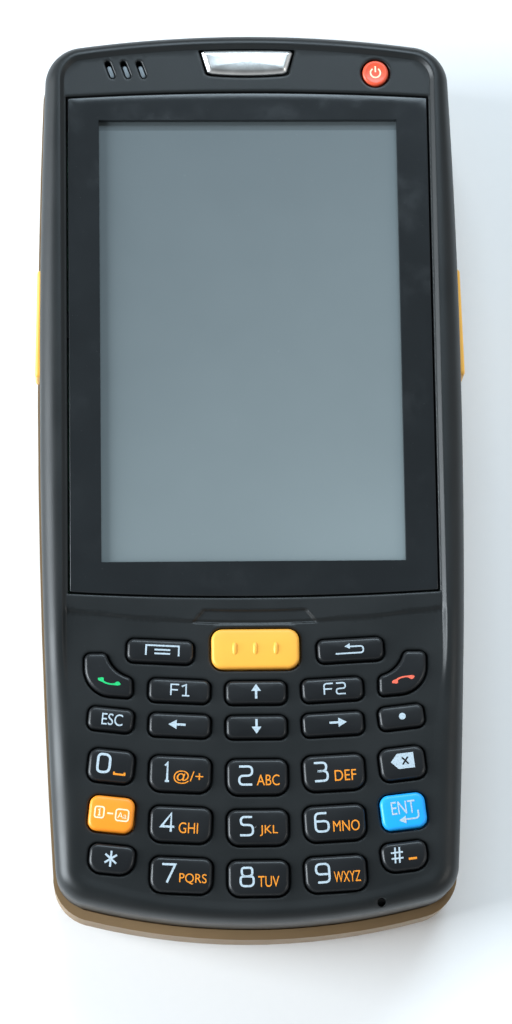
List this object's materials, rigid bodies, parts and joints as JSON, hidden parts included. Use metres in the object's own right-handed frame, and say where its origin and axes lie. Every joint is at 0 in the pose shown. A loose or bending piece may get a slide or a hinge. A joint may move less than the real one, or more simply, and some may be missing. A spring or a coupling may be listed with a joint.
{
  "type": "data collector",
  "caption": "Handheld data collection terminal with a touch display, domed keypad, side scan triggers, scan window and removable rear battery under a latched door.",
  "frame": {"origin": "middle of the bounding box on the resting face, the terminal lying on its back", "axes": "+X to the right of the display, +Y towards the top end with the scan window, +Z out of the display"},
  "size_m": [0.0716, 0.1516, 0.028],
  "materials": {
    "front_plastic": "fine matte moulded texture",
    "rear_plastic": "satin moulded plastic",
    "seal_rubber": "matte",
    "touch_glass": "gloss, dark printed border",
    "display_panel": "satin grey display face",
    "frame_steel": "satin",
    "board_green": "solder mask",
    "membrane_silicone": "matte",
    "badge_chrome": "polished",
    "module_black": "matte",
    "window_dark": "gloss",
    "battery_wrap": "satin label film",
    "screw_steel": "satin",
    "contact_gold": "polished plating",
    "trigger_yellow": "satin",
    "scan_yellow": "satin",
    "power_red": "satin",
    "key_black": "satin",
    "shift_orange": "satin",
    "enter_blue": "satin"
  },
  "bodies": {
    "case": {"front_cover": "front_plastic", "rear_cover": "rear_plastic", "case_gasket": "seal_rubber", "touch_glass": "touch_glass", "display_module": "display_panel", "display_frame": "frame_steel", "keypad_membrane": "membrane_silicone", "dome_sheet": "frame_steel", "keypad_board": "board_green", "main_board": "board_green", "shield_cans": "frame_steel", "badge_plate": "badge_chrome", "earpiece": "module_black", "loudspeaker": "module_black", "microphone": "frame_steel", "scan_window": "window_dark", "scan_engine": "module_black", "antenna": "module_black", "camera_window": "touch_glass", "camera_module": "module_black", "battery_contacts": "contact_gold", "usb_socket": "frame_steel", "tact_switches": "frame_steel", "case_screws": "screw_steel", "charging_contacts": "contact_gold"},
    "battery_pack": {"battery_pack": "battery_wrap"},
    "battery_door": {"battery_door": "rear_plastic"},
    "battery_latch": {"battery_latch": "module_black"},
    "port_cover": {"port_cover": "seal_rubber"},
    "left_trigger": {"left_trigger": "trigger_yellow"},
    "right_trigger": {"right_trigger": "trigger_yellow"},
    "power_button": {"power_button": "power_red"},
    "scan_key": {"scan_key": "scan_yellow"},
    "key_menu": {"key_menu": "key_black"},
    "key_back": {"key_back": "key_black"},
    "key_call": {"key_call": "key_black"},
    "key_end": {"key_end": "key_black"},
    "key_f1": {"key_f1": "key_black"},
    "key_up": {"key_up": "key_black"},
    "key_f2": {"key_f2": "key_black"},
    "key_esc": {"key_esc": "key_black"},
    "key_left": {"key_left": "key_black"},
    "key_down": {"key_down": "key_black"},
    "key_right": {"key_right": "key_black"},
    "key_dot": {"key_dot": "key_black"},
    "key_1": {"key_1": "key_black"},
    "key_2": {"key_2": "key_black"},
    "key_3": {"key_3": "key_black"},
    "key_0": {"key_0": "key_black"},
    "key_backspace": {"key_backspace": "key_black"},
    "key_4": {"key_4": "key_black"},
    "key_5": {"key_5": "key_black"},
    "key_6": {"key_6": "key_black"},
    "key_shift": {"key_shift": "shift_orange"},
    "key_enter": {"key_enter": "enter_blue"},
    "key_7": {"key_7": "key_black"},
    "key_8": {"key_8": "key_black"},
    "key_9": {"key_9": "key_black"},
    "key_star": {"key_star": "key_black"},
    "key_hash": {"key_hash": "key_black"}
  },
  "joints": [
    {"name": "battery_lift", "type": "slide", "parent": "case", "child": "battery_pack", "axis": [0, 0, -1], "range_m": [0, 0.02]},
    {"name": "door_lift", "type": "slide", "parent": "case", "child": "battery_door", "axis": [0, 0, -1], "range_m": [0, 0.04]},
    {"name": "latch_slide", "type": "slide", "parent": "battery_door", "child": "battery_latch", "axis": [0, 1, 0], "range_m": [0, 0.003], "stiffness_N_per_m": 300, "springref_m": -0.002},
    {"name": "port_hinge", "type": "hinge", "parent": "case", "child": "port_cover", "pos_m": [0.03435, -0.016, 0.018], "axis": [0, 0, -1], "range_deg": [0, 100]},
    {"name": "left_trigger_press", "type": "slide", "parent": "case", "child": "left_trigger", "axis": [1, 0, 0], "range_m": [0, 0.0006], "stiffness_N_per_m": 1500, "springref_m": -0.0005},
    {"name": "right_trigger_press", "type": "slide", "parent": "case", "child": "right_trigger", "axis": [-1, 0, 0], "range_m": [0, 0.0006], "stiffness_N_per_m": 1500, "springref_m": -0.0005},
    {"name": "power_press", "type": "slide", "parent": "case", "child": "power_button", "axis": [0, 0, -1], "range_m": [0, 0.0004], "stiffness_N_per_m": 1500, "springref_m": -0.0005},
    {"name": "scan_key_press", "type": "slide", "parent": "case", "child": "scan_key", "axis": [0, 0, -1], "range_m": [0, 0.0004], "stiffness_N_per_m": 1500, "springref_m": -0.0005},
    {"name": "key_menu_press", "type": "slide", "parent": "case", "child": "key_menu", "axis": [0, 0, -1], "range_m": [0, 0.0004], "stiffness_N_per_m": 1500, "springref_m": -0.0005},
    {"name": "key_back_press", "type": "slide", "parent": "case", "child": "key_back", "axis": [0, 0, -1], "range_m": [0, 0.0004], "stiffness_N_per_m": 1500, "springref_m": -0.0005},
    {"name": "key_call_press", "type": "slide", "parent": "case", "child": "key_call", "axis": [0, 0, -1], "range_m": [0, 0.0004], "stiffness_N_per_m": 1500, "springref_m": -0.0005},
    {"name": "key_end_press", "type": "slide", "parent": "case", "child": "key_end", "axis": [0, 0, -1], "range_m": [0, 0.0004], "stiffness_N_per_m": 1500, "springref_m": -0.0005},
    {"name": "key_f1_press", "type": "slide", "parent": "case", "child": "key_f1", "axis": [0, 0, -1], "range_m": [0, 0.0004], "stiffness_N_per_m": 1500, "springref_m": -0.0005},
    {"name": "key_up_press", "type": "slide", "parent": "case", "child": "key_up", "axis": [0, 0, -1], "range_m": [0, 0.0004], "stiffness_N_per_m": 1500, "springref_m": -0.0005},
    {"name": "key_f2_press", "type": "slide", "parent": "case", "child": "key_f2", "axis": [0, 0, -1], "range_m": [0, 0.0004], "stiffness_N_per_m": 1500, "springref_m": -0.0005},
    {"name": "key_esc_press", "type": "slide", "parent": "case", "child": "key_esc", "axis": [0, 0, -1], "range_m": [0, 0.0004], "stiffness_N_per_m": 1500, "springref_m": -0.0005},
    {"name": "key_left_press", "type": "slide", "parent": "case", "child": "key_left", "axis": [0, 0, -1], "range_m": [0, 0.0004], "stiffness_N_per_m": 1500, "springref_m": -0.0005},
    {"name": "key_down_press", "type": "slide", "parent": "case", "child": "key_down", "axis": [0, 0, -1], "range_m": [0, 0.0004], "stiffness_N_per_m": 1500, "springref_m": -0.0005},
    {"name": "key_right_press", "type": "slide", "parent": "case", "child": "key_right", "axis": [0, 0, -1], "range_m": [0, 0.0004], "stiffness_N_per_m": 1500, "springref_m": -0.0005},
    {"name": "key_dot_press", "type": "slide", "parent": "case", "child": "key_dot", "axis": [0, 0, -1], "range_m": [0, 0.0004], "stiffness_N_per_m": 1500, "springref_m": -0.0005},
    {"name": "key_1_press", "type": "slide", "parent": "case", "child": "key_1", "axis": [0, 0, -1], "range_m": [0, 0.0004], "stiffness_N_per_m": 1500, "springref_m": -0.0005},
    {"name": "key_2_press", "type": "slide", "parent": "case", "child": "key_2", "axis": [0, 0, -1], "range_m": [0, 0.0004], "stiffness_N_per_m": 1500, "springref_m": -0.0005},
    {"name": "key_3_press", "type": "slide", "parent": "case", "child": "key_3", "axis": [0, 0, -1], "range_m": [0, 0.0004], "stiffness_N_per_m": 1500, "springref_m": -0.0005},
    {"name": "key_0_press", "type": "slide", "parent": "case", "child": "key_0", "axis": [0, 0, -1], "range_m": [0, 0.0004], "stiffness_N_per_m": 1500, "springref_m": -0.0005},
    {"name": "key_backspace_press", "type": "slide", "parent": "case", "child": "key_backspace", "axis": [0, 0, -1], "range_m": [0, 0.0004], "stiffness_N_per_m": 1500, "springref_m": -0.0005},
    {"name": "key_4_press", "type": "slide", "parent": "case", "child": "key_4", "axis": [0, 0, -1], "range_m": [0, 0.0004], "stiffness_N_per_m": 1500, "springref_m": -0.0005},
    {"name": "key_5_press", "type": "slide", "parent": "case", "child": "key_5", "axis": [0, 0, -1], "range_m": [0, 0.0004], "stiffness_N_per_m": 1500, "springref_m": -0.0005},
    {"name": "key_6_press", "type": "slide", "parent": "case", "child": "key_6", "axis": [0, 0, -1], "range_m": [0, 0.0004], "stiffness_N_per_m": 1500, "springref_m": -0.0005},
    {"name": "key_shift_press", "type": "slide", "parent": "case", "child": "key_shift", "axis": [0, 0, -1], "range_m": [0, 0.0004], "stiffness_N_per_m": 1500, "springref_m": -0.0005},
    {"name": "key_enter_press", "type": "slide", "parent": "case", "child": "key_enter", "axis": [0, 0, -1], "range_m": [0, 0.0004], "stiffness_N_per_m": 1500, "springref_m": -0.0005},
    {"name": "key_7_press", "type": "slide", "parent": "case", "child": "key_7", "axis": [0, 0, -1], "range_m": [0, 0.0004], "stiffness_N_per_m": 1500, "springref_m": -0.0005},
    {"name": "key_8_press", "type": "slide", "parent": "case", "child": "key_8", "axis": [0, 0, -1], "range_m": [0, 0.0004], "stiffness_N_per_m": 1500, "springref_m": -0.0005},
    {"name": "key_9_press", "type": "slide", "parent": "case", "child": "key_9", "axis": [0, 0, -1], "range_m": [0, 0.0004], "stiffness_N_per_m": 1500, "springref_m": -0.0005},
    {"name": "key_star_press", "type": "slide", "parent": "case", "child": "key_star", "axis": [0, 0, -1], "range_m": [0, 0.0004], "stiffness_N_per_m": 1500, "springref_m": -0.0005},
    {"name": "key_hash_press", "type": "slide", "parent": "case", "child": "key_hash", "axis": [0, 0, -1], "range_m": [0, 0.0004], "stiffness_N_per_m": 1500, "springref_m": -0.0005}
  ],
  "couplings": [
    {"joint": "door_lift", "follows": "battery_lift", "ratio": 2}
  ]
}
